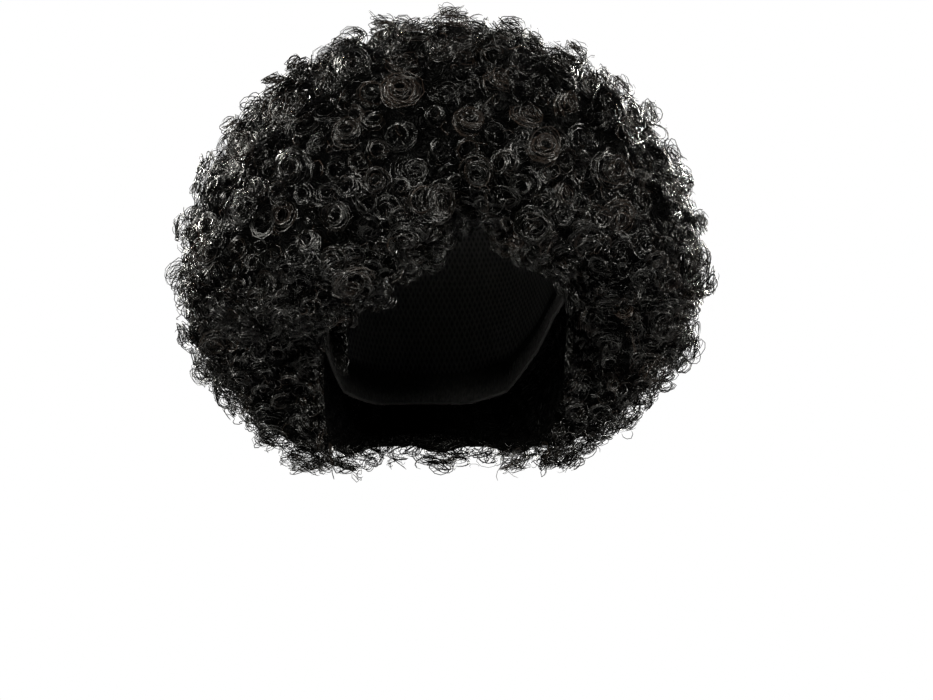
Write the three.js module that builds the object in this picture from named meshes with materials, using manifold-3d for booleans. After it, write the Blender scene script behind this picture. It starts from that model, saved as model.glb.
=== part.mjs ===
// Curly afro wig: a stretch cap that carries six sections of ringlets and two sideburns.
// Millimetres, +Z up. The front faces -Y, so the right side is at -X.
// The origin is the top of the head, on the inside of the cap.
import * as THREE from "three";
import { mergeVertices } from "three/addons/utils/BufferGeometryUtils.js";
import Module from "manifold-3d";

const wasm = await Module();
wasm.setup();
const { Manifold } = wasm;

// Head that the wig fits
const HEAD_BREADTH = 156;
const HEAD_LENGTH = 198;
const CROWN_RISE = 94; // from the head's widest level up to its top
const NECK_REACH_SIDE = 300; // how far down the egg shape of the head runs, seen from the front
const NECK_REACH_BACK = 150; // the same, seen from the side, where the nape draws in

// Stretch cap
const CAP_WALL = 2;
const HEM_WIDTH = 13;
const HEM_FOLD = 1; // the turned edge stands this much further in
const CLEARANCE = 0.3; // between pieces that touch

// Hair, from the head out to the tips of the locks
const HAIR_ON_TOP = 80;
const HAIR_AT_SIDES = 98;
const HAIR_IN_FRONT = 54;
const HAIR_AT_BACK = 84;
const HAIR_DROP = 164; // from the head's widest level down to where the outline would close
const EDGE_ROUNDING = 38; // width of the strip in which the hair rounds off at its edge
const EDGE_THICKNESS = 5;

// Locks: short barrels of curled hair, fused to the hair behind them
const LOCK_DIAMETER = 37;
const LOCK_PITCH = 46;
const RIM_CLEARING = 0.7; // room between the row along the hairline and the others, in pitches
const LOCK_REACH = 17; // how far a lock stands out
const LOCK_ROOT = 9; // how deep it is rooted
const LOCK_LEAN = 26; // degrees, the whole range of its random lean
const LOCK_SIDES = 5;
const RIM_INSET = 12; // the row of locks along the hairline stands this far in from it
const RIM_DROOP = 0.5; // how much the locks at the edge turn down

// Sideburns: flat tufts in front of the ears
const SIDEBURN_AZIMUTH = 67;
const SIDEBURN_WIDTH = 15;
const SIDEBURN_TIP_WIDTH = 9;
const SIDEBURN_LENGTH = 27;
const SIDEBURN_THICKNESS = 5;
const SIDEBURN_COLUMNS = 4;
const SIDEBURN_ROWS = 4;

// Directions are given from the middle of the head: azimuth 0 is the face, 90 the left side and
// -90 the right. The polar angle is 0 at the top and 90 at the head's widest level.
const CENTRE = new THREE.Vector3(0, 0, -CROWN_RISE);
const FAR = 400; // beyond every piece
const CROWN_EDGE = 44; // polar angle at the foot of the crown section
const CROWN_ROWS = 2; // rows of facets on the crown
const SIDE_ROWS = 6; // from there to the hairline
const NECK_ROWS = 2; // from the hairline to the bottom of the head form
const CAP_ROWS = 5; // down to the edge of the cap
const RANGE_STEP = 30; // degrees a row of the spaces that divide the hair into sections

// Polar angles at which the hair ends, on the right and on the left, and at which the cap ends,
// from the face round to the back. The cap has a tab before the ear and dips at the nape.
const EDGES = [
  { azimuth: 0, right: 73, left: 73, cap: 60 },
  { azimuth: 6, right: 71, left: 77, cap: 60 },
  { azimuth: 13, right: 84, left: 85, cap: 62 },
  { azimuth: 27, right: 87, left: 86, cap: 65 },
  { azimuth: 33, right: 97, left: 88, cap: 69 },
  { azimuth: 44, right: 99, left: 93, cap: 77 },
  { azimuth: 54, right: 105, left: 100, cap: 88 },
  { azimuth: 65, right: 108, left: 107, cap: 104 },
  { azimuth: 75, right: 110, left: 116, cap: 101 },
  { azimuth: 85, right: 119, left: 132, cap: 97 },
  { azimuth: 105, right: 143, left: 146, cap: 107 },
  { azimuth: 119, right: 147, left: 147, cap: 119 },
  { azimuth: 138, right: 147, left: 147, cap: 131 },
  { azimuth: 159, right: 147, left: 147, cap: 134 },
  { azimuth: 180, right: 147, left: 147, cap: 134 },
];

// Sections of the hair. Each takes the directions in its range that no earlier one has taken.
const FRINGE_END = 54; // azimuth at which the fringe meets the sides
const BACK_START = 119; // azimuth at which the sides meet the back
const NAPE_TOP = 112; // polar angle at which the back meets the nape
const SECTIONS = [
  { name: "hair_crown", from: -180, to: 180, top: 0, bottom: CROWN_EDGE },
  { name: "hair_fringe", from: -FRINGE_END, to: FRINGE_END, top: 0, bottom: 180 },
  { name: "hair_nape", from: BACK_START, to: 360 - BACK_START, top: NAPE_TOP, bottom: 180 },
  { name: "hair_back", from: BACK_START, to: 360 - BACK_START, top: 0, bottom: 180 },
  { name: "hair_right", from: -180, to: 0, top: 0, bottom: 180 },
  { name: "hair_left", from: 0, to: 180, top: 0, bottom: 180 },
];

const HAIR_MATERIAL = new THREE.MeshStandardMaterial({ color: 0x0b0a0a, roughness: 0.4, metalness: 0 });
const CAP_MATERIAL = new THREE.MeshStandardMaterial({ color: 0x111112, roughness: 0.85, metalness: 0 });

const radians = THREE.MathUtils.degToRad;
const degrees = THREE.MathUtils.radToDeg;

// Unit vector for an azimuth and a polar angle in degrees
function direction(azimuth, polar) {
  const ring = Math.sin(radians(polar));
  return new THREE.Vector3(
    ring * Math.sin(radians(azimuth)),
    -ring * Math.cos(radians(azimuth)),
    Math.cos(radians(polar)),
  );
}

const azimuthOf = (way) => degrees(Math.atan2(way.x, -way.y));
const polarOf = (way) => degrees(way.angleTo(new THREE.Vector3(0, 0, 1)));

// Radius of an egg shape in a direction. Its half-axes differ on each side of its centre.
function eggRadius(way, egg) {
  const along = way.y < 0 ? egg.front : egg.back;
  const level = Math.max(way.x * way.x + way.y * way.y, 1e-9);
  const down = egg.downSide + (egg.downBack - egg.downSide) * ((way.y * way.y) / level);
  const upright = way.z > 0 ? egg.up : down;
  return 1 / Math.hypot(way.x / egg.side, way.y / along, way.z / upright);
}

// The head, grown outwards by an offset
function headRadius(way, offset) {
  return eggRadius(way, {
    side: HEAD_BREADTH / 2 + offset,
    front: HEAD_LENGTH / 2 + offset,
    back: HEAD_LENGTH / 2 + offset,
    up: CROWN_RISE + offset,
    downSide: NECK_REACH_SIDE + offset,
    downBack: NECK_REACH_BACK + offset,
  });
}

// The outline of the hair, drawn in by an inset
function outlineRadius(way, inset) {
  return eggRadius(way, {
    side: HEAD_BREADTH / 2 + HAIR_AT_SIDES - inset,
    front: HEAD_LENGTH / 2 + HAIR_IN_FRONT - inset,
    back: HEAD_LENGTH / 2 + HAIR_AT_BACK - inset,
    up: CROWN_RISE + HAIR_ON_TOP - inset,
    downSide: HAIR_DROP - inset,
    downBack: HAIR_DROP - inset,
  });
}

// Azimuth brought into the range from -180 to 180
const wrapped = (azimuth) => THREE.MathUtils.euclideanModulo(azimuth + 180, 360) - 180;

// A column of the table of edges at an azimuth, in a straight line from row to row
function edgeAt(column, azimuth) {
  const turned = Math.abs(wrapped(azimuth));
  const next = Math.max(EDGES.findIndex((row) => row.azimuth >= turned), 1);
  const low = EDGES[next - 1];
  const high = EDGES[next];
  const share = (turned - low.azimuth) / (high.azimuth - low.azimuth);
  return THREE.MathUtils.lerp(low[column], high[column], share);
}

const hairEdge = (azimuth) => edgeAt(wrapped(azimuth) < 0 ? "right" : "left", azimuth);
const capEdge = (azimuth) => edgeAt("cap", azimuth);

// The lines of facets that run down the head stand at the rows of the table, on both sides
const GRID_AZIMUTHS = [
  ...EDGES.slice(1).map((row) => -row.azimuth).reverse(),
  ...EDGES.slice(0, -1).map((row) => row.azimuth),
];

// The hairline as unit vectors a degree or two apart, all the way round
const hairlineWays = Array.from({ length: 240 }, (_, i) => {
  const azimuth = -180 + i * 1.5;
  return direction(azimuth, hairEdge(azimuth));
});

// Distance from a direction to the hairline, over the outline of the hair
function edgeDistance(way) {
  const nearest = Math.min(...hairlineWays.map((point) => point.angleTo(way)));
  return nearest * outlineRadius(way, LOCK_REACH);
}

const insideHairline = (way) => polarOf(way) < hairEdge(azimuthOf(way));

// Outer radius of the hair behind the locks. It rounds off towards the hairline.
function bodyRadius(way) {
  const inner = headRadius(way, CAP_WALL + CLEARANCE);
  const full = Math.max(outlineRadius(way, LOCK_REACH) - inner, EDGE_THICKNESS);
  const share = insideHairline(way) ? Math.min(edgeDistance(way) / EDGE_ROUNDING, 1) : 0;
  const rounding = Math.sqrt(1 - (1 - share) ** 2);
  return inner + Math.max(full * rounding, EDGE_THICKNESS);
}

const onBody = (way) => way.clone().multiplyScalar(bodyRadius(way)).add(CENTRE);

// The manifold solid of a closed geometry
function solidOf(geometry) {
  const merged = mergeVertices(
    new THREE.BufferGeometry()
      .setAttribute("position", geometry.getAttribute("position"))
      .setIndex(geometry.index),
    1e-3,
  );
  const kept = [];
  for (let i = 0; i < merged.index.count; i += 3) {
    const [a, b, c] = [0, 1, 2].map((corner) => merged.index.getX(i + corner));
    if (a !== b && b !== c && a !== c) kept.push(a, b, c);
  }
  return new Manifold(
    new wasm.Mesh({
      numProp: 3,
      vertProperties: merged.attributes.position.array,
      triVerts: new Uint32Array(kept),
    }),
  );
}

// A closed solid between a curved face and the middle of the head. The face is a grid of points:
// pointAt(i, j) runs round with i and down with j. When round is true its two ends meet.
function starSolid(across, down, pointAt, round) {
  const grid = Array.from({ length: across + 1 }, (_, i) =>
    Array.from({ length: down + 1 }, (_, j) => pointAt(round ? i % across : i, j)),
  );
  const corners = [];
  const fan = (a, b) => corners.push(CENTRE, a, b);
  for (let i = 0; i < across; i++) {
    for (let j = 0; j < down; j++) {
      corners.push(grid[i][j], grid[i][j + 1], grid[i + 1][j + 1]);
      corners.push(grid[i][j], grid[i + 1][j + 1], grid[i + 1][j]);
    }
    fan(grid[i][0], grid[i + 1][0]);
    fan(grid[i + 1][down], grid[i][down]);
  }
  for (let j = 0; j < down && !round; j++) {
    fan(grid[0][j + 1], grid[0][j]);
    fan(grid[across][j], grid[across][j + 1]);
  }
  return solidOf(new THREE.BufferGeometry().setFromPoints(corners));
}

// Everything within a range of azimuth and polar angle, grown by a margin in degrees
function space({ from, to, top, bottom }, margin = 0) {
  const round = to - from === 360;
  const start = round ? from : from - margin;
  const end = round ? to : to + margin;
  const inside = (azimuth) => azimuth > start + margin && azimuth < end - margin;
  const lines = [...GRID_AZIMUTHS, ...GRID_AZIMUTHS.map((azimuth) => azimuth + 360)].filter(inside);
  const azimuths = round ? GRID_AZIMUTHS : [start, ...lines, end];
  const high = Math.max(top - margin, 0);
  const low = Math.min(bottom + margin, 180);
  const across = azimuths.length - (round ? 0 : 1);
  const rows = Math.ceil((low - high) / RANGE_STEP);
  const pointAt = (i, j) =>
    direction(azimuths[i], high + ((low - high) * j) / rows).multiplyScalar(FAR).add(CENTRE);
  return starSolid(across, rows, pointAt, round);
}

// Polar angle of a row of facets: down the crown, on to the hairline and then to the bottom
function rowAngle(azimuth, row) {
  const { lerp } = THREE.MathUtils;
  if (row <= CROWN_ROWS) return lerp(0, CROWN_EDGE, row / CROWN_ROWS);
  const below = row - CROWN_ROWS;
  if (below <= SIDE_ROWS) return lerp(CROWN_EDGE, hairEdge(azimuth), below / SIDE_ROWS);
  return lerp(hairEdge(azimuth), 180, (below - SIDE_ROWS) / NECK_ROWS);
}

// A solid round the middle of the head, over a number of rows of facets
function covering(rows, angleAt, radiusAt) {
  const pointAt = (i, j) => {
    const way = direction(GRID_AZIMUTHS[i], angleAt(GRID_AZIMUTHS[i], j));
    return way.clone().multiplyScalar(radiusAt(way)).add(CENTRE);
  };
  return starSolid(GRID_AZIMUTHS.length, rows, pointAt, true);
}

const headForm = (offset) =>
  covering(CROWN_ROWS + SIDE_ROWS + NECK_ROWS, rowAngle, (way) => headRadius(way, offset));

// Every direction above the edge of the cap, raised by some degrees
const aboveCapEdge = (raise) =>
  covering(CAP_ROWS, (azimuth, row) => ((capEdge(azimuth) - raise) * row) / CAP_ROWS, () => FAR);

// An angle at the side of the head, in degrees, for a length on it
const angleFor = (length) => degrees(length / (HEAD_BREADTH / 2));
const GAP = angleFor(CLEARANCE);

function cap() {
  const wall = headForm(CAP_WALL).subtract(headForm(0)).intersect(aboveCapEdge(0));
  const fold = headForm(CAP_WALL / 2).subtract(headForm(-HEM_FOLD));
  const strip = aboveCapEdge(0).subtract(aboveCapEdge(angleFor(HEM_WIDTH)));
  return wall.add(fold.intersect(strip));
}

// The directions that a sideburn takes, on the side +1 for left or -1 for right
function sideburnSpace(side, margin) {
  const top = capEdge(SIDEBURN_AZIMUTH) - angleFor(SIDEBURN_THICKNESS) - margin;
  const bottom = capEdge(SIDEBURN_AZIMUTH) + angleFor(SIDEBURN_LENGTH) + margin;
  const pointAt = (i, j) => {
    const down = j / SIDEBURN_ROWS;
    const narrowing = down ** 2 * (SIDEBURN_WIDTH - SIDEBURN_TIP_WIDTH);
    const width = angleFor(SIDEBURN_WIDTH - narrowing) + 2 * margin;
    const azimuth = side * SIDEBURN_AZIMUTH + width * (i / SIDEBURN_COLUMNS - 0.5);
    const polar = THREE.MathUtils.lerp(top, bottom, down);
    return direction(azimuth, polar).multiplyScalar(FAR).add(CENTRE);
  };
  return starSolid(SIDEBURN_COLUMNS, SIDEBURN_ROWS, pointAt, false);
}

function sideburn(side) {
  const underCap = aboveCapEdge(-GAP).intersect(headForm(CAP_WALL + CLEARANCE));
  return sideburnSpace(side, 0)
    .intersect(headForm(SIDEBURN_THICKNESS))
    .subtract(headForm(0))
    .subtract(underCap);
}

// A repeatable scatter between -0.5 and 0.5 for the number of a lock
function scatter(index, salt) {
  const wave = Math.sin(index * 12.9898 + salt * 78.233) * 43758.5453;
  return wave - Math.floor(wave) - 0.5;
}

// Directions of the locks over the hair, spaced evenly along a spiral from the top
function spiralOfLocks() {
  const pitch = LOCK_PITCH / (HEAD_BREADTH / 2 + HAIR_AT_SIDES - LOCK_REACH);
  const count = Math.round((4 * Math.PI) / (pitch * pitch * Math.sin(radians(60))));
  const goldenAngle = 180 * (3 - Math.sqrt(5));
  return Array.from({ length: count }, (_, i) => {
    const height = 1 - (2 * i + 1) / count;
    return direction(i * goldenAngle, degrees(Math.acos(height)));
  }).filter((way) => insideHairline(way) && edgeDistance(way) > RIM_INSET + RIM_CLEARING * LOCK_PITCH);
}

// Directions of the locks in the row along the hairline
function rimOfLocks() {
  const inset = RIM_INSET / (HEAD_BREADTH / 2 + HAIR_AT_SIDES - LOCK_REACH);
  const ways = [];
  let run = 0;
  hairlineWays.forEach((here, i) => {
    const next = hairlineWays[(i + 1) % hairlineWays.length];
    run += here.angleTo(next) * outlineRadius(here, LOCK_REACH);
    if (run < LOCK_PITCH) return;
    run = 0;
    const along = next.clone().sub(here).normalize();
    const inwards = along.cross(here).normalize();
    if (inwards.z < 0) inwards.negate();
    ways.push(here.clone().multiplyScalar(Math.cos(inset)).addScaledVector(inwards, Math.sin(inset)));
  });
  return ways;
}

// Outward normal of the hair behind the locks
function bodyNormal(way) {
  const step = 0.03;
  const side = new THREE.Vector3(-way.y, way.x, 0).normalize();
  const up = way.clone().cross(side).normalize();
  const slope = (tangent) =>
    onBody(way.clone().addScaledVector(tangent, step).normalize())
      .sub(onBody(way.clone().addScaledVector(tangent, -step).normalize()));
  return slope(side).cross(slope(up)).normalize();
}

// One lock: a barrel that leans a little, turned down where it hangs at the edge
function lock(way, index, margin) {
  const lean = 2 * Math.sin(radians(LOCK_LEAN) / 2);
  const droop = RIM_DROOP * (1 - Math.min(edgeDistance(way) / EDGE_ROUNDING, 1));
  const axis = bodyNormal(way);
  axis.x += lean * scatter(index, 3);
  axis.y += lean * scatter(index, 4);
  axis.z += lean * scatter(index, 5) - droop;
  axis.normalize();
  const radius = (LOCK_DIAMETER / 2) * (1 + 0.2 * scatter(index, 6)) + margin;
  const length = (LOCK_ROOT + LOCK_REACH) * (1 + 0.2 * scatter(index, 7)) + margin;
  const profile = [
    [0, 0],
    [0.85, 0],
    [1, 0.7],
    [0.55, 1],
    [0, 1],
  ].map(([out, along]) => new THREE.Vector2(out * radius, along * length - LOCK_ROOT));
  const barrel = new THREE.LatheGeometry(profile, LOCK_SIDES);
  barrel.applyQuaternion(new THREE.Quaternion().setFromUnitVectors(new THREE.Vector3(0, 1, 0), axis));
  barrel.translate(...onBody(way).toArray());
  return solidOf(barrel);
}

const inRange = (section, azimuth, polar) =>
  polar >= section.top &&
  polar < section.bottom &&
  [azimuth, azimuth + 360].some((turned) => turned >= section.from && turned < section.to);

const sectionOf = (way) => SECTIONS.find((section) => inRange(section, azimuthOf(way), polarOf(way)));

// The largest of the bodies of a solid, without offcuts of locks at a boundary
const largest = (solid) => solid.decompose().reduce((a, b) => (b.volume() > a.volume() ? b : a));

// The hair behind the locks, from the head form out
const body = (margin) =>
  covering(
    CROWN_ROWS + SIDE_ROWS,
    (azimuth, row) => rowAngle(azimuth, row) + (row === CROWN_ROWS + SIDE_ROWS ? angleFor(margin) : 0),
    (way) => bodyRadius(way) + margin,
  );

// The room that is kept clear of the hair: the head, the cap and the sideburns
function hollow() {
  const headAndCap = headForm(CAP_WALL + CLEARANCE);
  const sideburns = [1, -1].map((side) =>
    sideburnSpace(side, GAP).intersect(headForm(SIDEBURN_THICKNESS + CLEARANCE)),
  );
  return Manifold.union([headAndCap, ...sideburns]);
}

// Each section of the hair is its range of the body with its own locks, which may lean out over
// the next section. What an earlier section fills is left free by the later ones.
function hairSections() {
  const sites = [...spiralOfLocks(), ...rimOfLocks()].map((way, index) => ({ way, index }));
  const kept = hollow();
  const taken = [kept];
  return SECTIONS.map((section) => {
    const own = sites.filter(({ way }) => sectionOf(way) === section);
    const locks = (margin) => own.map(({ way, index }) => lock(way, index, margin));
    const filled = Manifold.union([body(0).intersect(space(section)), ...locks(0)]);
    const solid = largest(filled.subtract(Manifold.union(taken)));
    taken.push(body(CLEARANCE).intersect(space(section, GAP)), ...locks(CLEARANCE));
    return [section.name, solid];
  });
}

// A named three.js mesh from a manifold solid
function meshOf(name, solid, material) {
  const { vertProperties, triVerts } = solid.getMesh();
  const geometry = new THREE.BufferGeometry()
    .setAttribute("position", new THREE.BufferAttribute(vertProperties, 3))
    .setIndex(new THREE.BufferAttribute(triVerts, 1));
  geometry.computeVertexNormals();
  const mesh = new THREE.Mesh(geometry, material);
  mesh.name = name;
  return mesh;
}

const wig = new THREE.Group();
wig.add(meshOf("cap", cap(), CAP_MATERIAL));
hairSections().forEach(([name, solid]) => wig.add(meshOf(name, solid, HAIR_MATERIAL)));
wig.add(meshOf("sideburn_left", sideburn(1), HAIR_MATERIAL));
wig.add(meshOf("sideburn_right", sideburn(-1), HAIR_MATERIAL));

export default wig;
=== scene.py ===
"""A black afro wig: ringlets of curled fibre on a stretch cap, shown on its own.

Sizes are in millimetres until a mesh is made. +Z is up and the front faces -Y. A direction is a
unit vector from the middle of the head: azimuth 0 is the face, 90 the left side, and the polar
angle runs from 0 at the top down to 180.
"""
import math

import bpy
import numpy as np
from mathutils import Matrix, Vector


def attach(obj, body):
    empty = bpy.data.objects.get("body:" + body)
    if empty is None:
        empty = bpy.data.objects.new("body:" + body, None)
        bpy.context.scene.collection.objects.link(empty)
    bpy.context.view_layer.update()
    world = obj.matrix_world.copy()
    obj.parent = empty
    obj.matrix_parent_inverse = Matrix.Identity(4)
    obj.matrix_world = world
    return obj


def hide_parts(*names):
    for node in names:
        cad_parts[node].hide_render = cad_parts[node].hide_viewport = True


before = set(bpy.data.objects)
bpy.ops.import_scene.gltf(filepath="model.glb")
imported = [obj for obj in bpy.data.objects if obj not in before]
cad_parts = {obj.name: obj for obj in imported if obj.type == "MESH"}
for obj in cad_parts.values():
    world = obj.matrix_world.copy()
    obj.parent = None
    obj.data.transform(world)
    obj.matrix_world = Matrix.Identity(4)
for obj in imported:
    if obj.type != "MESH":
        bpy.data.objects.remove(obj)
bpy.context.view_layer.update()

MM = 0.001
TURN = 2 * math.pi
rng = np.random.default_rng(11)

# Half-axes of the head and of the outline of the hair, round the same middle
HEAD = {"side": 78, "front": 99, "back": 99, "up": 94, "down_side": 300, "down_back": 150}
HAIR = {"side": 176, "front": 153, "back": 183, "up": 174, "down_side": 164, "down_back": 164}
CENTRE = np.array([0.0, 0.0, -94.0])
CAP_WALL = 2.0
HEM_WIDTH = 13.0
HEM_FOLD = 1.0
HEM_SEAT = 0.2  # how far the tape goes into the net
HEM_STEPS = 180
NET_GRID = (96, 30)  # columns and rows of the net's mesh
EDGE_ROUNDING = 38.0  # width of the strip in which the hair rounds off at its edge
EDGE_THICKNESS = 5.0

# Polar angles at which the hair ends, on the right and on the left, and at which the cap ends
AZIMUTH, RIGHT_EDGE, LEFT_EDGE, CAP_EDGE = np.array([
    (0, 73, 73, 60),
    (6, 71, 77, 60),
    (13, 84, 85, 62),
    (27, 87, 86, 65),
    (33, 97, 88, 69),
    (44, 99, 93, 77),
    (54, 105, 100, 88),
    (65, 108, 107, 104),
    (75, 110, 116, 101),
    (85, 119, 132, 97),
    (105, 143, 146, 107),
    (119, 147, 147, 119),
    (138, 147, 147, 131),
    (159, 147, 147, 134),
    (180, 147, 147, 134),
]).T

# Sections of the hair, as in the frame
CROWN_EDGE = 44
FRINGE_END = 54
BACK_START = 119
NAPE_TOP = 112

# Clusters of ringlets that stand out, where the solids have their locks
LOCK_PITCH = 46.0
LOCK_REACH = 17.0
LOCK_CLEARING = 0.7  # room between the row along the hairline and the others, in pitches
RIM_INSET = 12.0
CLUSTER_INNER = 4.0  # a cluster stands out fully within this distance of its middle
CLUSTER_OUTER = 24.0  # and not at all beyond this one

# Kinds of ringlet: pitch between them, radius of the coil, depth, turns, fibres in each, points
# along a fibre, and short curls of frizz that go with each
KIND_COLUMNS = ("pitch", "radius", "depth", "turns", "fibres", "points", "frizz")
KIND_ROWS = {
    "large": (14.0, 7.4, 16.0, 1.8, 6, 16, 9),
    "tight": (12.2, 6.2, 15.0, 1.8, 6, 15, 9),
    "rear": (13.6, 7.0, 16.0, 1.7, 4, 14, 5),
}
KINDS = {name: dict(zip(KIND_COLUMNS, row)) for name, row in KIND_ROWS.items()}
LARGE_FROM = 0.26  # ringlets are large where they face up by more than this
FRONT_LIFT = 0.5  # and facing forward counts this much

# What differs by chance from ringlet to ringlet, least and greatest
RINGLET_SPREAD = {
    "lean": (0.2, 1), "inset": (-4, 2), "radius": (0.78, 1.2), "depth": (0.85, 1.1),
    "turns": (0.85, 1.1),
}
LEANING_SHARE = 0.3  # this share of the ringlets leans far
FAR_LEAN = 0.9
NEAR_LEAN = 0.35
DROOP = 0.5  # how much the curls at the hairline turn down
COIL_BEND = 0.3  # how far a coil bends to its side at most, as a share of its depth
HEAD_GAP = 1.2  # the middle of a fibre stays this far off the cap
FIBRE_WIDTHS = (0.6, 1.35)  # least and greatest share of the width asked for

# Mean and spread of the shade, a random tone, and how much painted light makes it lighter on top
SHADES = {"ringlet": (0.25, 0.18, 0.35), "rosette": (0.3, 0.15, 0.25)}

# Scatter of the fibres in a ringlet, and the radius along it from the root to the tip
FIBRE_SCATTER = {"turns": 0.05, "angle": 0.3, "radius": 0.13, "back": 1.1, "shift": 0.5, "tint": 0.15}
PROFILE_PLACES = [0, 0.3, 0.62, 1]
PROFILE_RADII = [0.6, 0.95, 1.0, 0.5]

FIBRE = 0.28  # half the width of a fibre
FIBRE_SIDES = 3

# Rosettes: the ends of locks, seen as rings over a dome, with a coil in the middle
ROSETTE = {
    "fibres": 12, "points": 13, "dome": 6.0, "depth": 17.0, "turns": 1.9,
    "widening": 0.12, "shift": 0.4,
}
ROSETTE_CORE = {"fibres": 5, "points": 18}
ROSETTE_FRIZZ = {"share": 9, "inset": 4.0}
ROSETTE_SPREAD = {
    "inset": (-2, 2), "lean": (0.05, 0.5), "radius": (8, 12), "ring": (0.3, 1),
    "turns": (0.6, 1.15), "flatness": (0.75, 1), "height": (-1, 1), "tilt": (0.15, 0.9),
}
ROSETTE_AZIMUTHS = [60, BACK_START]
ROSETTE_PITCHES = [25, 45]  # between rosettes at those azimuths

# Smaller curls: least and greatest radius, depth and turns, fibres in each, points along a fibre,
# and the mean and spread of their shade
SMALL_COLUMNS = ("radius", "depth", "turns", "fibres", "points", "shade", "spread")
SMALL_ROWS = {
    "hairline": ((3.5, 6.5), (5, 10), (1.2, 1.9), 5, 13, 0.25, 0.2),
    "frizz": ((2.5, 6.5), (1, 6), (0.35, 0.7), 1, 6, 0.3, 0.25),
    "inside": ((3, 6.5), (1, 4), (0.7, 1.3), 1, 11, 0.1, 0.1),
    "flyaway": ((4, 9), (2, 9), (0.8, 1.5), 3, 13, 0.4, 0.2),
}
SMALL = {name: dict(zip(SMALL_COLUMNS, row)) for name, row in SMALL_ROWS.items()}

# Short curls inside the hair, below the cap: the azimuths between which they lie, and their
# distance from the form of the cap
INSIDE = {"count": 200, "from": 80, "to": 280, "gap": 3}

# Loose loops: how much deeper they end between the clusters, and how far they are lifted
FLYAWAY = {"count": 140, "sink": 9, "lift": (-3, 1), "width": 0.9 * FIBRE}

CANDIDATES = {"rosettes": 3000, "ringlets": 16000}  # places that are tried
EDGE_GAP = 0.4  # no place is nearer to the hairline than this
FRIZZ_REACH = 14.0  # short curls lie within this distance of a ringlet
FRIZZ_DEPTH = 7.0
VALLEY = 10.0  # how much deeper the ringlets end between the clusters

# Ringlets over the hairline: pitch, rows, sway to either side and rise from the first row to the
# last in degrees, how far the first row stands off the head and how much farther the last
RIM_CURLS = {"pitch": 9.0, "rows": 4, "sway": 3, "rise": 5, "near": 5, "far": 24}

# The dense hair behind the ringlets
MASS = {"inset": 7.0, "held_back": 9.0, "edge_lift": 4.0, "gap": 0.6, "across": 120, "down": 60}


def unit(vectors):
    return vectors / np.linalg.norm(vectors, axis=-1, keepdims=True)


def smooth(share):
    share = np.clip(share, 0, 1)
    return share * share * (3 - 2 * share)


# The shape of the head and the hair

def direction(azimuth, polar):
    azimuth, polar = np.broadcast_arrays(np.radians(azimuth), np.radians(polar))
    ring = np.sin(polar)
    return np.stack([ring * np.sin(azimuth), -ring * np.cos(azimuth), np.cos(polar)], -1)


def azimuth_of(way):
    return np.degrees(np.arctan2(way[..., 0], -way[..., 1]))


def polar_of(way):
    return np.degrees(np.arccos(np.clip(way[..., 2], -1, 1)))


def egg_shares(out, egg, offset):
    """Squared shares of the way from the middle to an egg shape, level and upright: 1 in all on it."""
    x, y, z = out[..., 0], out[..., 1], out[..., 2]
    along = np.where(y < 0, egg["front"], egg["back"]) + offset
    level = np.maximum(x * x + y * y, 1e-9)
    down = egg["down_side"] + (egg["down_back"] - egg["down_side"]) * y * y / level
    upright = np.where(z > 0, egg["up"], down) + offset
    return (x / (egg["side"] + offset)) ** 2 + (y / along) ** 2, (z / upright) ** 2


def egg_radius(way, egg, offset):
    """Radius of an egg shape, grown by an offset, in a direction."""
    level, upright = egg_shares(way, egg, offset)
    return 1 / np.sqrt(level + upright)


def over_head(way, offset):
    return CENTRE + way * egg_radius(way, HEAD, offset)[..., None]


def hair_edge(azimuth):
    wrapped = (azimuth + 180) % 360 - 180
    right = np.interp(np.abs(wrapped), AZIMUTH, RIGHT_EDGE)
    left = np.interp(np.abs(wrapped), AZIMUTH, LEFT_EDGE)
    return np.where(wrapped < 0, right, left)


def cap_edge(azimuth):
    return np.interp(np.abs((azimuth + 180) % 360 - 180), AZIMUTH, CAP_EDGE)


HAIRLINE_STEP = 0.375
LOCK_STEPS = 4  # the solids look at every fourth point of the hairline
HAIRLINE_AZIMUTHS = np.arange(-180, 180, HAIRLINE_STEP)
HAIRLINE = direction(HAIRLINE_AZIMUTHS, hair_edge(HAIRLINE_AZIMUTHS))
INWARDS = unit(np.cross(HAIRLINE, np.roll(HAIRLINE, -1, axis=0) - HAIRLINE))


def edge_distance(way):
    """Distance in from the hairline over the hair, negative outside it."""
    flat = way.reshape(-1, 3)
    nearest = np.arccos(np.clip((flat @ HAIRLINE.T).max(axis=1), -1, 1)).reshape(way.shape[:-1])
    inside = polar_of(way) < hair_edge(azimuth_of(way))
    return np.where(inside, 1, -1) * nearest * egg_radius(way, HAIR, -LOCK_REACH)


def surface(way, inset, held_back=0.0):
    """Points of the hair's outer form, drawn in by an inset and rounded off at the hairline.

    held_back is how far inside the hairline the form ends.
    """
    inner = egg_radius(way, HEAD, CAP_WALL + 1)
    full = np.maximum(egg_radius(way, HAIR, 0) - inset - inner, EDGE_THICKNESS)
    share = np.clip((edge_distance(way) - held_back) / EDGE_ROUNDING, 0, 1)
    depth = np.maximum(full * np.sqrt(1 - (1 - share) ** 2), EDGE_THICKNESS)
    return CENTRE + way * (inner + depth)[..., None]


def surface_normal(way):
    step = 0.008
    side = unit(np.stack([-way[..., 1], way[..., 0], 0 * way[..., 0]], -1) + 1e-9)
    up = unit(np.cross(way, side))
    across = surface(unit(way + side * step), LOCK_REACH) - surface(unit(way - side * step), LOCK_REACH)
    along = surface(unit(way + up * step), LOCK_REACH) - surface(unit(way - up * step), LOCK_REACH)
    return unit(np.cross(across, along))


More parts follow.
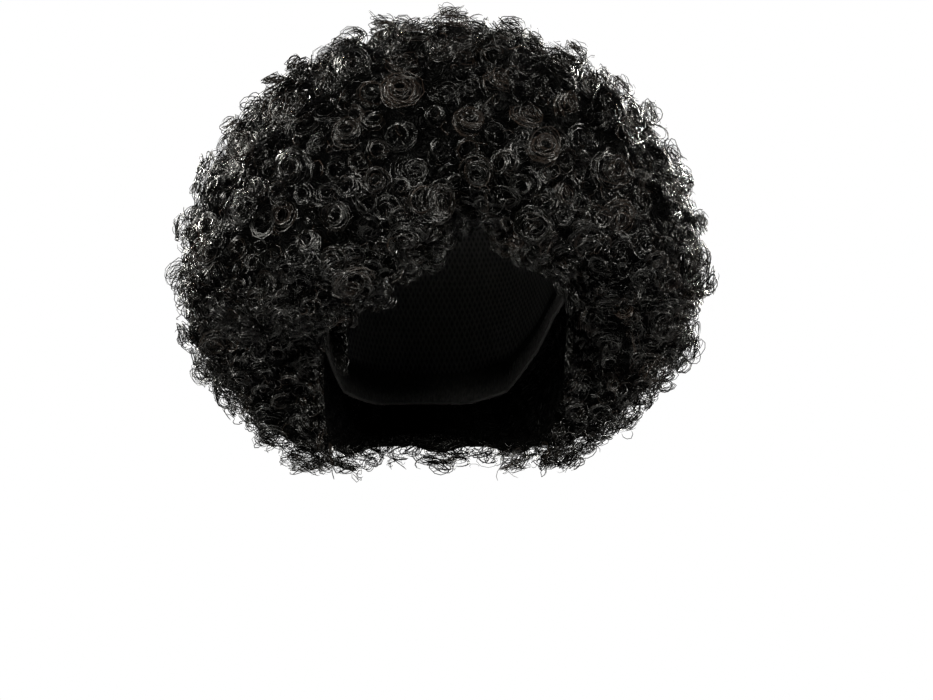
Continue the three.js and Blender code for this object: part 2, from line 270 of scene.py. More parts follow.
def lock_sites():
    """Directions of the clusters: an even spiral over the hair and a row along the hairline."""
    reach = HAIR["side"] - LOCK_REACH
    count = round(2 * TURN / ((LOCK_PITCH / reach) ** 2 * math.sin(math.radians(60))))
    index = np.arange(count)
    polar = np.degrees(np.arccos(1 - (2 * index + 1) / count))
    ways = direction(index * 180 * (3 - math.sqrt(5)), polar)
    ways = ways[edge_distance(ways) > RIM_INSET + LOCK_CLEARING * LOCK_PITCH]
    line, inwards = HAIRLINE[::LOCK_STEPS], INWARDS[::LOCK_STEPS]
    steps = np.linalg.norm(np.roll(line, -1, axis=0) - line, axis=1)
    run, picked = 0.0, []
    for number, step in enumerate(steps * egg_radius(line, HAIR, -LOCK_REACH)):
        run += step
        if run >= LOCK_PITCH:
            picked.append(number)
            run = 0.0
    angle = RIM_INSET / reach
    rim = line[picked] * math.cos(angle) + inwards[picked] * math.sin(angle)
    return np.vstack([ways, rim])


LOCKS = lock_sites()


def standing_out(way):
    """1 in the middle of a cluster of ringlets and 0 between the clusters."""
    nearest = np.arccos(np.clip((way @ LOCKS.T).max(axis=-1), -1, 1)) * HAIR["side"]
    return smooth((CLUSTER_OUTER - nearest) / (CLUSTER_OUTER - CLUSTER_INNER))


def kind_of(way):
    """Large ringlets on top and in front, tight ones at the sides, looser ones behind."""
    lift = way[..., 2] + FRONT_LIFT * np.maximum(-way[..., 1], 0) * (1 - np.abs(way[..., 0]))
    rear = np.abs(azimuth_of(way)) > BACK_START
    return np.where(lift > LARGE_FROM, "large", np.where(rear, "rear", "tight"))


def section_of(way):
    """The name of the frame's section that each direction falls in."""
    azimuth, polar = azimuth_of(way), polar_of(way)
    back = np.abs(azimuth) >= BACK_START
    names = np.where(azimuth < 0, "hair_right", "hair_left")
    names = np.where(back, "hair_back", names)
    names = np.where(back & (polar >= NAPE_TOP), "hair_nape", names)
    names = np.where(np.abs(azimuth) < FRINGE_END, "hair_fringe", names)
    return np.where(polar < CROWN_EDGE, "hair_crown", names)


def keep_off_head(points, gap):
    """Points moved out of the head, straight to the side where they lie below its middle."""
    out = points - CENTRE
    level, upright = egg_shares(out, HEAD, CAP_WALL + gap)
    inside, below = level + upright < 1, out[..., 2] < 0
    beside = np.sqrt(np.maximum(1 - upright, 0) / np.maximum(level, 0.05))
    away = 1 / np.sqrt(np.maximum(level + upright, 0.05))
    aside = np.where(inside, np.where(below, beside, away), 1)
    up = np.where(inside & ~below, away, 1)
    return CENTRE + out * np.stack([aside, aside, up], -1)


# Meshes

def make_object(name, vertices, faces, uvs, shade, material):
    """A mesh object from vertices in millimetres and blocks of faces with equal numbers of sides."""
    mesh = bpy.data.meshes.new(name)
    totals = np.concatenate([np.full(len(block), block.shape[1]) for block in faces])
    loops = np.concatenate([block.ravel() for block in faces])
    mesh.vertices.add(len(vertices))
    mesh.vertices.foreach_set("co", (vertices * MM).astype(np.float32).ravel())
    mesh.loops.add(len(loops))
    mesh.loops.foreach_set("vertex_index", loops.astype(np.int32))
    mesh.polygons.add(len(totals))
    mesh.polygons.foreach_set("loop_start", (np.cumsum(totals) - totals).astype(np.int32))
    mesh.polygons.foreach_set("loop_total", totals.astype(np.int32))
    mesh.polygons.foreach_set("use_smooth", np.ones(len(totals), bool))
    mesh.update(calc_edges=True)
    layer = mesh.uv_layers.new(name="OFBake")
    layer.data.foreach_set("uv", np.concatenate([block.reshape(-1, 2) for block in uvs]).ravel())
    attribute = mesh.attributes.new("shade", "FLOAT", "POINT")
    attribute.data.foreach_set("value", shade.astype(np.float32))
    mesh.materials.append(material)
    thing = bpy.data.objects.new(name, mesh)
    bpy.context.scene.collection.objects.link(thing)
    return thing


def tubes(points, outwards, widths, sides, shade):
    """Closed tubes along lines of points: vertices, faces, uvs and the shade of each vertex."""
    lines, count = points.shape[:2]
    tangent = unit(np.gradient(points, axis=1))
    first = unit(outwards - (outwards * tangent).sum(-1, keepdims=True) * tangent)
    second = np.cross(tangent, first)
    angle = np.arange(sides) * TURN / sides
    ring = np.cos(angle)[:, None] * first[:, :, None] + np.sin(angle)[:, None] * second[:, :, None]
    vertices = points[:, :, None] + ring * widths[:, :, None, None]
    index = np.arange(lines * count * sides).reshape(lines, count, sides)
    here, there = index[:, :-1], index[:, 1:]
    quads = np.stack([here, np.roll(here, -1, 2), np.roll(there, -1, 2), there], -1)
    ends = np.concatenate([index[:, 0, ::-1], index[:, -1]])
    cells = math.ceil(math.sqrt(lines))
    corner = np.stack([np.arange(lines) % cells, np.arange(lines) // cells], -1) + 0.05
    i, j = np.meshgrid(np.arange(count - 1), np.arange(sides), indexing="ij")
    corners = [(i, j), (i, j + 1), (i + 1, j + 1), (i + 1, j)]
    local = np.stack([np.stack(pair, -1) for pair in corners], -2) / (count - 1, sides) * 0.9
    quad_uv = (corner[:, None, None, None] + local) / cells
    end_uv = np.repeat(np.tile(corner, (2, 1))[:, None] / cells, sides, axis=1)
    faces = [quads.reshape(-1, 4), ends]
    return vertices.reshape(-1, 3), faces, [quad_uv, end_uv], np.repeat(shade, count * sides)


def add_tubes(name, material, *bundles):
    """One object from bundles of tubes, each with its own share of the texture."""
    vertices, faces, uvs, shades, start = [], [], [], [], 0
    for number, bundle in enumerate(bundles):
        points, blocks, maps, values = tubes(*bundle)
        vertices.append(points)
        faces += [block + start for block in blocks]
        uvs += [(block + (number, 0)) / (len(bundles), 1) for block in maps]
        shades.append(values)
        start += len(points)
    return make_object(name, np.vstack(vertices), faces, uvs, np.concatenate(shades), material)


def shell(name, material, edge_at, outer, inner, across, down):
    """A closed shell from the top of the head down to an edge, between two surfaces."""
    azimuth = np.linspace(-180, 180, across + 1)[:-1]
    row = (np.arange(down) + 0.5) / (down - 0.5)
    way = direction(azimuth[:, None], edge_at(azimuth)[:, None] * row)
    index = np.arange(across * down).reshape(across, down)
    following = np.roll(index, -1, axis=0)
    behind = across * down
    i, j = np.meshgrid(np.arange(across), np.arange(down - 1), indexing="ij")
    corners = [(i, j + 1), (i + 1, j + 1), (i + 1, j), (i, j)]
    front_uv = np.stack([np.stack(pair, -1) for pair in corners], -2) / (across, down) * (1, 0.49)
    front = np.stack([index[:, 1:], following[:, 1:], following[:, :-1], index[:, :-1]], -1)
    back = front[..., ::-1] + behind
    first, second = index[:, -1], following[:, -1]
    rim = np.stack([first + behind, second + behind, second, first], -1)
    top = np.full(across, 2 * behind)
    crown = np.stack([index[:, 0], following[:, 0], top], -1)
    under = np.stack([following[:, 0] + behind, index[:, 0] + behind, top + 1], -1)
    faces = [front.reshape(-1, 4), back.reshape(-1, 4), rim, crown, under]
    uvs = [front_uv, front_uv[..., ::-1, :] + (0, 0.5)]
    uvs += [np.full((*block.shape, 2), 0.995) for block in faces[2:]]
    pole = direction(np.zeros(1), np.zeros(1))
    points = np.vstack([outer(way).reshape(-1, 3), inner(way).reshape(-1, 3), outer(pole), inner(pole)])
    return make_object(name, points, faces, uvs, np.zeros(len(points)), material)


def band(name, material, edge_at, width, inner, outer, across):
    """A flat closed strip round the inside of the head's form, up from an edge."""
    azimuth = np.linspace(-180, 180, across + 1)[:-1]
    rise = np.degrees(width / HEAD["side"])
    corners = [(0, outer), (0, inner), (rise, inner), (rise, outer)]
    rings = [over_head(direction(azimuth, edge_at(azimuth) - lift), offset) for lift, offset in corners]
    points = np.stack(rings, 1)
    index = np.arange(across * 4).reshape(across, 4)
    following = np.roll(index, -1, axis=0)
    quads = np.stack([index, np.roll(index, -1, 1), np.roll(following, -1, 1), following], -1)
    i, j = np.meshgrid(np.arange(across), np.arange(4), indexing="ij")
    pairs = [(i, j), (i, j + 1), (i + 1, j + 1), (i + 1, j)]
    uv = np.stack([np.stack(pair, -1) for pair in pairs], -2) / (across, 4)
    faces = [quads.reshape(-1, 4)]
    return make_object(name, points.reshape(-1, 3), faces, [uv], np.zeros(across * 4), material)


# Curls

def hair_candidates(number):
    """Directions all over the hair, half of them near the hairline where the hair is steep."""
    free = unit(rng.normal(size=(number, 3)))
    picked = rng.integers(len(HAIRLINE), size=number)
    angle = (EDGE_ROUNDING * rng.random(number) ** 3 / (HAIR["side"] - LOCK_REACH))[:, None]
    near = HAIRLINE[picked] * np.cos(angle) + INWARDS[picked] * np.sin(angle)
    ways = rng.permutation(np.vstack([free, near]))
    return ways[edge_distance(ways) > EDGE_GAP]


def spread_out(points, pitch):
    """Indices of points taken in turn, each at least its pitch away from those before it."""
    kept = np.empty_like(points)
    chosen = []
    for index, point in enumerate(points):
        number = len(chosen)
        apart = ((kept[:number] - point) ** 2).sum(axis=1)
        if number == 0 or apart.min() > pitch[index] ** 2:
            kept[number] = point
            chosen.append(index)
    return chosen


def rosette_sites():
    """Directions of the locks whose ends are seen as rings: most are on top and in front."""
    ways = np.vstack([LOCKS, hair_candidates(CANDIDATES["rosettes"])])
    pitch = np.interp(np.abs(azimuth_of(ways)), ROSETTE_AZIMUTHS, ROSETTE_PITCHES)
    return ways[spread_out(surface(ways, LOCK_REACH / 2), pitch)]


def ringlet_sites(taken):
    """Directions of the ringlets between the places that the rosettes have taken."""
    ways = np.vstack([taken, hair_candidates(CANDIDATES["ringlets"])])
    pitch = np.array([KINDS[kind]["pitch"] for kind in kind_of(ways)])
    pitch[:len(taken)] = 0
    chosen = spread_out(surface(ways, LOCK_REACH / 2), pitch)
    return ways[chosen[len(taken):]]


def hanging_axes(way, lean):
    """Axes that stand off the hair, lean at random and hang down at the hairline."""
    axis = unit(surface_normal(way) + unit(rng.normal(size=way.shape)) * lean[:, None])
    axis[:, 2] -= DROOP * np.clip(1 - edge_distance(way) / EDGE_ROUNDING, 0, 1)
    return unit(axis)


def coils(tip, axis, radius, depth, turns):
    """Coils that wind round their axes and end at their tips."""
    number = len(tip)
    side = unit(np.cross(axis, rng.normal(size=axis.shape)))
    return {
        "tip": tip, "axis": axis, "side": side, "other": np.cross(axis, side),
        "radius": radius, "depth": depth, "turns": turns,
        "hand": rng.choice([-1.0, 1.0], number),
        "phase": rng.uniform(0, TURN, number),
        "bend": rng.uniform(-COIL_BEND, COIL_BEND, number),
    }


def coil_lines(coil, count, points):
    """Lines along some coils, count fibres for each, and the outward vectors of their points."""
    number = len(coil["tip"])
    share = np.linspace(0, 1, points)

    def each(name):
        return coil[name][:, None, None]

    def scatter(name):
        return rng.normal(0, FIBRE_SCATTER[name], (number, count, 1))

    turned = TURN * each("hand") * each("turns") * (1 + scatter("turns")) * share
    angle = each("phase") + scatter("angle") + turned
    profile = np.interp(share, PROFILE_PLACES, PROFILE_RADII)
    radius = each("radius") * (1 + scatter("radius")) * profile
    back = each("depth") * (1 - share) ** 1.5 + scatter("back")
    out = np.cos(angle)[..., None] * each("side") + np.sin(angle)[..., None] * each("other")
    bend = (each("bend") * back)[..., None] * each("side")
    shift = rng.normal(0, FIBRE_SCATTER["shift"], (number, count, 1, 3))
    line = each("tip") - each("axis") * back[..., None] + bend + shift + out * radius[..., None]
    flat = (number * count, points, 3)
    return keep_off_head(line, HEAD_GAP).reshape(flat), out.reshape(flat)


def taper(lines, points, width):
    """Half-widths of fibres that differ by chance and thin out at both ends."""
    share = np.linspace(0, 1, points)
    shape = np.minimum(1, 0.3 + 4 * (1 - share)) * np.minimum(1, 0.5 + 5 * share)
    return width * shape * rng.uniform(*FIBRE_WIDTHS, (lines, 1))


def fibre_bundle(coil, count, points, width, shade):
    """A bundle of fibres along some coils, for add_tubes."""
    line, out = coil_lines(coil, count, points)
    tint = np.repeat(shade, count) + rng.normal(0, FIBRE_SCATTER["tint"], len(line))
    return line, out, taper(len(line), points, width), FIBRE_SIDES, np.clip(tint, 0, 1)


def painted_top_light(way):
    """How far a direction faces up, from 0 to 1, for painted light that makes fibres lighter and browner on
    top.
    """
    return smooth(way[:, 2] + 0.4)


def ringlets(way, kind):
    """The ringlets of a kind at these directions."""
    number = len(way)

    def spread(name):
        return rng.uniform(*RINGLET_SPREAD[name], number)

    lean = np.where(rng.random(number) < LEANING_SHARE, FAR_LEAN, NEAR_LEAN) * spread("lean")
    out = standing_out(way)
    inset = VALLEY * (1 - out) + spread("inset")
    radius = kind["radius"] * spread("radius")
    depth = kind["depth"] * spread("depth")
    turns = kind["turns"] * spread("turns")
    coil = coils(surface(way, inset), hanging_axes(way, lean), radius, depth, turns)
    mean, deviation, on_top = SHADES["ringlet"]
    # Random tone, plus painted light: fibres lighter and browner on top and on the clusters that stand out
    shade = rng.normal(mean, deviation, number) + on_top * out * painted_top_light(way)
    return fibre_bundle(coil, kind["fibres"], kind["points"], FIBRE, shade)


def rosettes(way):
    """The ends of locks: rings of fibre, one inside the other, over a dome, and their cores."""
    count, points = ROSETTE["fibres"], ROSETTE["points"]
    number = len(way)
    spread = ROSETTE_SPREAD
    inset = VALLEY * (1 - standing_out(way)) + rng.uniform(*spread["inset"], number)
    axis = hanging_axes(way, rng.uniform(*spread["lean"], number))
    radius = rng.uniform(*spread["radius"], number)
    depth, turns = np.full(number, ROSETTE["depth"]), np.full(number, ROSETTE["turns"])
    coil = coils(surface(way, inset), axis, radius, depth, turns)

    def each(low, high):
        return rng.uniform(low, high, (number, count, 1))

    share = np.linspace(0, 1, points)
    reach = each(*spread["ring"]) * (1 + ROSETTE["widening"] * share)
    turned = coil["hand"][:, None, None] * TURN * each(*spread["turns"]) * share
    angle = each(0, TURN) + turned
    flatness = rng.uniform(*spread["flatness"], (number, 1, 1, 1))
    side, other = coil["side"][:, None, None], coil["other"][:, None, None]
    out = np.cos(angle)[..., None] * side + flatness * np.sin(angle)[..., None] * other
    across = radius[:, None, None] * reach
    back = ROSETTE["dome"] * reach ** 2 + each(*spread["height"])
    back = back + each(*spread["tilt"]) * across * np.cos(angle + each(0, TURN))
    line = coil["tip"][:, None, None] - coil["axis"][:, None, None] * back[..., None]
    line = line + out * across[..., None]
    line += rng.normal(0, ROSETTE["shift"], (number, count, 1, 3))
    mean, deviation, on_top = SHADES["rosette"]
    # Random tone, plus painted light: rosettes lighter and browner on top
    shade = rng.normal(mean, deviation, number) + on_top * painted_top_light(way)
    tint = np.repeat(shade, count) + rng.normal(0, FIBRE_SCATTER["tint"], number * count)
    flat = (number * count, points, 3)
    widths = taper(number * count, points, FIBRE)
    rings = line.reshape(flat), out.reshape(flat), widths, FIBRE_SIDES, np.clip(tint, 0, 1)
    return rings, fibre_bundle(coil, ROSETTE_CORE["fibres"], ROSETTE_CORE["points"], FIBRE, shade)


def small_curls(name, tip, axis, width=FIBRE):
    """A bundle of the smaller curls with this name, which end at their tips."""
    kind, number = SMALL[name], len(tip)
    sizes = [rng.uniform(*kind[size], number) for size in ("radius", "depth", "turns")]
    coil = coils(tip, axis, *sizes)
    shade = rng.normal(kind["shade"], kind["spread"], number)
    return fibre_bundle(coil, kind["fibres"], kind["points"], width, shade)


def hairline_ringlets():
    """Small ringlets that hang over the hairline round the face, in rows from the head outwards."""
    steps = np.linalg.norm(np.roll(HAIRLINE, -1, axis=0) - HAIRLINE, axis=1)
    length = np.cumsum(steps) * HEAD["front"]
    places = np.searchsorted(length, np.arange(0, length[-1], RIM_CURLS["pitch"]))
    azimuth = HAIRLINE_AZIMUTHS[places]
    azimuth = np.repeat(azimuth[np.abs(azimuth) < BACK_START], RIM_CURLS["rows"])
    number, sway = len(azimuth), RIM_CURLS["sway"]
    lift = rng.uniform(0, 1, number)
    polar = hair_edge(azimuth) - RIM_CURLS["rise"] * lift + 1
    way = direction(azimuth + rng.uniform(-sway, sway, number), polar)
    axis = unit(way + 0.5 * unit(rng.normal(size=way.shape)))
    height = RIM_CURLS["near"] + RIM_CURLS["far"] * lift * rng.uniform(0.7, 1, number)
    tip = over_head(way, CAP_WALL) + way * height[:, None]
    return small_curls("hairline", tip, axis)


def frizz(way, share, inset=-1.0):
    """Short curls that fill the room round and behind the ringlets, a share for each.

    inset is how deep they lie at least.
    """
    way = np.repeat(way, share, axis=0)
    number = len(way)
    normal = surface_normal(way)
    beside = FRIZZ_REACH * np.sqrt(rng.uniform(0.05, 1, (number, 1)))
    beside = beside * np.cross(normal, unit(rng.normal(size=way.shape)))
    inner = edge_distance(way)[:, None] > FRIZZ_REACH
    spot = np.where(inner, unit(way + beside / HAIR["side"]), way)
    tip = surface(spot, VALLEY * (1 - standing_out(spot))) + np.where(inner, 0, beside)
    tip -= normal * rng.uniform(inset, FRIZZ_DEPTH, (number, 1))
    axis = unit(rng.normal(size=way.shape) + 0.6 * normal)
    return small_curls("frizz", tip, axis)


def inner_frizz():
    """Short curls on the inside of the hair, below the edge of the cap."""
    azimuth = rng.uniform(INSIDE["from"], INSIDE["to"], INSIDE["count"])
    low, high = cap_edge(azimuth) + 2, hair_edge(azimuth) - 2
    way = direction(azimuth, low + (high - low) * rng.random(INSIDE["count"]))
    axis = unit(way + 0.5 * rng.normal(size=way.shape))
    return small_curls("inside", over_head(way, CAP_WALL + INSIDE["gap"]), axis)


def flyaways(way):
    """Small bundles of loose loops that stand clear of the hair."""
    sideways = np.cross(way, rng.normal(size=way.shape))
    axis = unit(sideways + 0.4 * rng.normal(size=way.shape))
    inset = FLYAWAY["sink"] * (1 - standing_out(way)) - rng.uniform(*FLYAWAY["lift"], len(way))
    return small_curls("flyaway", surface(way, inset), axis, FLYAWAY["width"])


# The shells

def mass_edge(azimuth):
    return hair_edge(azimuth) - MASS["edge_lift"]


def mass_outside(way):
    inset = MASS["inset"] + VALLEY * (1 - standing_out(way))
    return surface(way, inset, held_back=MASS["held_back"])


def mass_inside(way):
    return over_head(way, CAP_WALL + MASS["gap"])


def cap_outside(way):
    return over_head(way, CAP_WALL)


def cap_inside(way):
    return over_head(way, 0)


# Materials

def new_material(name):
    material = bpy.data.materials.new(name)
    material.use_nodes = True
    nodes, links = material.node_tree.nodes, material.node_tree.links
    nodes.clear()
    shader = nodes.new("ShaderNodeBsdfPrincipled")
    output = nodes.new("ShaderNodeOutputMaterial")
    links.new(shader.outputs["BSDF"], output.inputs["Surface"])
    return material, nodes, links, shader


def ramp(nodes, links, factor, *stops):
    """A colour ramp from pairs of place and colour, or place and grey value."""
    node = nodes.new("ShaderNodeValToRGB")
    elements = node.color_ramp.elements
    for _ in stops[2:]:
        elements.new(0.5)
    for element, (place, colour) in zip(elements, stops):
        element.position = place
        element.color = (*colour, 1) if isinstance(colour, tuple) else (colour, colour, colour, 1)
    links.new(factor, node.inputs["Fac"])
    return node.outputs["Color"]


def noise(nodes, links, vector, scale, stretch=(1, 1, 1)):
    node = nodes.new("ShaderNodeTexNoise")
    node.inputs["Scale"].default_value = scale
    mapping = nodes.new("ShaderNodeMapping")
    mapping.inputs["Scale"].default_value = stretch
    links.new(vector, mapping.inputs["Vector"])
    links.new(mapping.outputs["Vector"], node.inputs["Vector"])
    return node.outputs["Fac"]


def bump(nodes, links, height, strength, distance):
    node = nodes.new("ShaderNodeBump")
    node.inputs["Strength"].default_value = strength
    node.inputs["Distance"].default_value = distance * MM
    links.new(height, node.inputs["Height"])
    return node.outputs["Normal"]


def fibre_material(name, gloss):
    """Glossy synthetic fibre, black with a little brown where the shade is light: partly random tone, partly
    painted light on top and on the clusters that stand out.
    """
    material, nodes, links, shader = new_material(name)
    shade = nodes.new("ShaderNodeAttribute")
    shade.attribute_name = "shade"
    place = nodes.new("ShaderNodeTexCoord")
    colour = ramp(nodes, links, shade.outputs["Fac"],
                  (0.0, (0.0004, 0.0004, 0.0003)),
                  (0.5, (0.0014, 0.0013, 0.0010)),
                  (1.0, (0.0220, 0.0150, 0.0115)))
    links.new(colour, shader.inputs["Base Color"])
    patches = noise(nodes, links, place.outputs["Object"], 90)
    roughness = ramp(nodes, links, patches, (0.35, 0.16), (0.65, 0.34))
    links.new(roughness, shader.inputs["Roughness"])
    shader.inputs["Specular IOR Level"].default_value = gloss
    return material


def math_node(nodes, links, operation, first, second=0.0):
    node = nodes.new("ShaderNodeMath")
    node.operation = operation
    links.new(first, node.inputs[0])
    node.inputs[1].default_value = second
    return node.outputs[0]


WANDER = 8.0  # the rings of strands are moved by up to this much, in millimetres
RING_ANGLE = 42.0  # its sine makes the rings: the angle at one cell's width from the middle


def mass_material():
    """Dense hair seen between the ringlets: nearly black, and darker than the fibres as painted shade between
    the curls, with rings of strands in relief.
    """
    material, nodes, links, shader = new_material("dense_hair_painted_shade")
    place = nodes.new("ShaderNodeTexCoord")
    wander = nodes.new("ShaderNodeTexNoise")
    wander.inputs["Scale"].default_value = 120
    links.new(place.outputs["Object"], wander.inputs["Vector"])
    moved = nodes.new("ShaderNodeVectorMath")
    moved.operation = "MULTIPLY_ADD"
    moved.inputs[1].default_value = [WANDER * MM] * 3
    links.new(wander.outputs["Color"], moved.inputs[0])
    links.new(place.outputs["Object"], moved.inputs[2])
    cells = nodes.new("ShaderNodeTexVoronoi")
    cells.inputs["Scale"].default_value = 85
    links.new(moved.outputs[0], cells.inputs["Vector"])
    turned = math_node(nodes, links, "MULTIPLY", cells.outputs["Distance"], RING_ANGLE)
    strands = math_node(nodes, links, "SINE", turned)
    # Ring pattern of strands, kept darker than the fibres: painted shade deep between the curls
    links.new(ramp(nodes, links, strands, (0.2, 0.0001), (0.9, 0.0006)), shader.inputs["Base Color"])
    links.new(bump(nodes, links, strands, 1, 0.8), shader.inputs["Normal"])
    shader.inputs["Roughness"].default_value = 0.4
    shader.inputs["Specular IOR Level"].default_value = 0.03
    return material


def net_material():
    """Elastic net of threads that cross at an angle."""
    material, nodes, links, shader = new_material("elastic_net")
    place = nodes.new("ShaderNodeTexCoord")
    threads = nodes.new("ShaderNodeMath")
    threads.operation = "MAXIMUM"
    for number, angle in enumerate((45, -45)):
        mapping = nodes.new("ShaderNodeMapping")
        mapping.inputs["Rotation"].default_value = (0, 0, math.radians(angle))
        mapping.inputs["Scale"].default_value = (1.0, 0.36, 1.0)
        wave = nodes.new("ShaderNodeTexWave")
        wave.inputs["Scale"].default_value = 75
        wave.inputs["Distortion"].default_value = 0.3
        links.new(place.outputs["UV"], mapping.inputs["Vector"])
        links.new(mapping.outputs["Vector"], wave.inputs["Vector"])
        links.new(wave.outputs["Fac"], threads.inputs[number])
    links.new(ramp(nodes, links, threads.outputs[0], (0.35, 0.012), (0.9, 0.06)), shader.inputs["Base Color"])
    links.new(bump(nodes, links, threads.outputs[0], 0.8, 0.5), shader.inputs["Normal"])
    shader.inputs["Roughness"].default_value = 0.8
    shader.inputs["Specular IOR Level"].default_value = 0.2
    return material


def tape_material():
    """Woven tape that binds the edge of the cap."""
    material, nodes, links, shader = new_material("woven_tape")
    place = nodes.new("ShaderNodeTexCoord")
    weave = noise(nodes, links, place.outputs["Object"], 900, (1, 1, 0.35))
    links.new(ramp(nodes, links, weave, (0.35, 0.015), (0.7, 0.04)), shader.inputs["Base Color"])
    links.new(bump(nodes, links, weave, 0.6, 0.4), shader.inputs["Normal"])
    shader.inputs["Roughness"].default_value = 0.8
    shader.inputs["Specular IOR Level"].default_value = 0.2
    return material


def floor_material():
    material, nodes, links, shader = new_material("pale_floor")
    place = nodes.new("ShaderNodeTexCoord")
    grain = noise(nodes, links, place.outputs["Object"], 40)
    links.new(ramp(nodes, links, grain, (0.0, 0.9), (1.0, 0.94)), shader.inputs["Base Color"])
    shader.inputs["Roughness"].default_value = 0.9
    return material


# Camera, light and floor

CAMERA_AZIMUTH = -12.0
CAMERA_DISTANCE = 1.8
LENS = 107.0
AIM_RIGHT = 14.0  # the middle of the picture is this far to the right of the wig's axis
AIM_HEIGHT = -139.0
FLOOR_DROP = 1.6
FLOOR_RADIUS = 0.8
FLOOR_CORNERS = 96
ROOM_LIGHT = 0.01  # strength of the white room as light, and 1 as a backdrop
LAMP_COLOUR = (1.0, 0.98, 0.91)

# Lamps: name, place and diameter in metres, and power in watts
LAMPS = [
    ("front", (-0.3, -2.0, 0.9), 0.3, 5),
    ("key", (-1.6, -1.1, 0.5), 0.4, 88),
    ("fill", (1.8, -0.9, 0.2), 0.4, 66),
    ("top", (0.1, -0.9, 1.7), 0.4, 19),
    ("rear", (-0.9, 1.7, 0.6), 0.4, 52),
    ("back", (1.2, 1.5, 0.3), 0.4, 48),
]


def aim(thing, target):
    thing.rotation_euler = (Vector(target) - thing.location).to_track_quat("-Z", "Y").to_euler()


def add_camera():
    angle = math.radians(CAMERA_AZIMUTH)
    right = Vector((math.cos(angle), math.sin(angle), 0))
    back = Vector((math.sin(angle), -math.cos(angle), 0))
    target = right * AIM_RIGHT * MM + Vector((0, 0, AIM_HEIGHT * MM))
    data = bpy.data.cameras.new("camera")
    data.lens = LENS
    data.sensor_width = 36.0
    camera = bpy.data.objects.new("camera", data)
    bpy.context.scene.collection.objects.link(camera)
    camera.location = target + back * CAMERA_DISTANCE
    aim(camera, target)
    bpy.context.scene.camera = camera


def add_light(name, place, size, power):
    data = bpy.data.lights.new(name, "AREA")
    data.shape = "DISK"
    data.size = size
    data.energy = power
    data.color = LAMP_COLOUR
    light = bpy.data.objects.new(name, data)
    bpy.context.scene.collection.objects.link(light)
    light.location = place
    aim(light, CENTRE * MM)


def add_floor():
    """A pale round floor below the wig."""
    angle = np.linspace(0, TURN, FLOOR_CORNERS + 1)[:-1]
    points = [(FLOOR_RADIUS * math.cos(a), FLOOR_RADIUS * math.sin(a), -FLOOR_DROP) for a in angle]
    mesh = bpy.data.meshes.new("floor")
    mesh.from_pydata(points, [], [range(len(points))])
    mesh.materials.append(floor_material())
    floor = bpy.data.objects.new("floor", mesh)
    bpy.context.scene.collection.objects.link(floor)


def add_world():
    """A white backdrop that lights the wig only softly."""
    world = bpy.data.worlds.new("studio")
    world.use_nodes = True
    nodes, links = world.node_tree.nodes, world.node_tree.links
    path = nodes.new("ShaderNodeLightPath")
    strength = nodes.new("ShaderNodeMapRange")
    strength.inputs["To Min"].default_value = ROOM_LIGHT
    links.new(path.outputs["Is Camera Ray"], strength.inputs["Value"])
    links.new(strength.outputs["Result"], nodes["Background"].inputs["Strength"])
    nodes["Background"].inputs["Color"].default_value = (1, 1, 1, 1)
    bpy.context.scene.world = world
    bpy.context.scene.view_settings.view_transform = "Standard"


# The wig

def place(piece, slot, *nodes):
    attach(piece, "root")
    if nodes:
        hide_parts(*nodes)


SIDEBURN = {
    "azimuth": 67, "top": 101, "width": 17.0, "length": 34.0, "fibres": 110, "points": 20,
    "waves": 20, "curl": 28, "curl_from": 0.62,
}


def sideburn(side, material):
    """A tuft of fibres in front of the ear that curls forward at its tip."""
    count, points = SIDEBURN["fibres"], SIDEBURN["points"]

    def wave(size):
        return size * np.sin(SIDEBURN["waves"] * drop + rng.uniform(0, TURN, (count, 1)))

    start = SIDEBURN["width"] * rng.uniform(-0.5, 0.5, (count, 1))
    drop = np.linspace(0, 1, points) * rng.uniform(0.72, 1.06, (count, 1))
    curled = SIDEBURN["curl"] * np.clip(drop - SIDEBURN["curl_from"], 0, 1) ** 1.5
    curl = curled * rng.uniform(0.3, 1, (count, 1))
    forward = start * (1 - 0.35 * drop) - curl + wave(2.2)
    azimuth = side * (SIDEBURN["azimuth"] + np.degrees(forward / HEAD["side"]))
    way = direction(azimuth, SIDEBURN["top"] + np.degrees(SIDEBURN["length"] * drop / HEAD["side"]))
    height = 1.2 + rng.uniform(0, 3.2, (count, 1)) * (1 - 0.6 * drop) + wave(1.8)
    line = over_head(way, 0) + way * np.maximum(height, 0.8)[..., None]
    shade = np.clip(rng.normal(0.05, 0.1, count), 0, 1)
    name = "left" if side > 0 else "right"
    fibres = line, way, taper(count, points, 2 * FIBRE), FIBRE_SIDES, shade
    tuft = add_tubes("sideburn_hair_" + name, material, fibres)
    place(tuft, "hair", "sideburn_" + name)


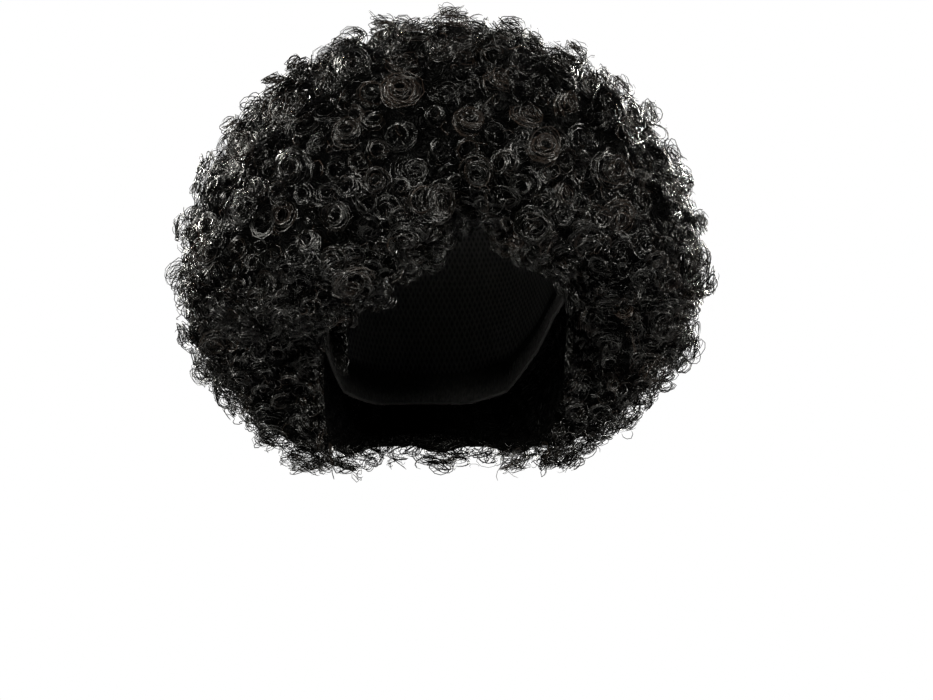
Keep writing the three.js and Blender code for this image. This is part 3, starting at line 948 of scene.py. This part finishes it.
STITCH = {"points": 361, "low": 0.35, "high": 0.65, "radius": 0.35, "sides": 4}


def hem_stitch(material):
    """A zigzag of thread along the binding of the cap."""
    azimuth = np.linspace(-180, 180, STITCH["points"])
    height = np.where(np.arange(len(azimuth)) % 2, STITCH["low"], STITCH["high"])
    lift = np.degrees(height * HEM_WIDTH / HEAD["side"])
    way = direction(azimuth, cap_edge(azimuth) - lift)
    line = over_head(way, -HEM_FOLD)[None]
    width = np.full((1, len(azimuth)), STITCH["radius"])
    thread = line, way[None], width, STITCH["sides"], np.zeros(1)
    return add_tubes("hem_stitch", material, thread)


add_camera()
for lamp in LAMPS:
    add_light(*lamp)
add_floor()
add_world()

fibre, dense = fibre_material("curled_fibre", 0.42), mass_material()
combed = fibre_material("combed_fibre", 0.1)
rosette_ways = rosette_sites()
sites = ringlet_sites(rosette_ways)
kinds, sections = kind_of(sites), section_of(sites)
for section in sorted(set(sections)):
    own = rosette_ways[section_of(rosette_ways) == section]
    strands = [*rosettes(own), frizz(own, ROSETTE_FRIZZ["share"], ROSETTE_FRIZZ["inset"])]
    for name, kind in KINDS.items():
        ways = sites[(sections == section) & (kinds == name)]
        if len(ways):
            strands += [ringlets(ways, kind), frizz(ways, kind["frizz"])]
    place(add_tubes(section + "_curls", fibre, *strands), "hair", section)

mass = shell("hair_mass", dense, mass_edge, mass_outside, mass_inside, MASS["across"], MASS["down"])
place(mass, "hair", *sorted(set(sections)))
place(add_tubes("hairline_curls", fibre, hairline_ringlets(), inner_frizz()), "hair")
loose = flyaways(rng.choice(sites, FLYAWAY["count"], replace=False))
place(add_tubes("flyaway_loops", fibre, loose), "hair")
for side in (1, -1):
    sideburn(side, combed)
net, tape = net_material(), tape_material()
cap = shell("cap_net", net, cap_edge, cap_outside, cap_inside, *NET_GRID)
place(cap, "cap_net", "cap")
hem = band("hem_tape", tape, cap_edge, HEM_WIDTH, -HEM_FOLD, HEM_SEAT, HEM_STEPS)
place(hem, "cap_net", "cap")
place(hem_stitch(tape), "cap_net", "cap")
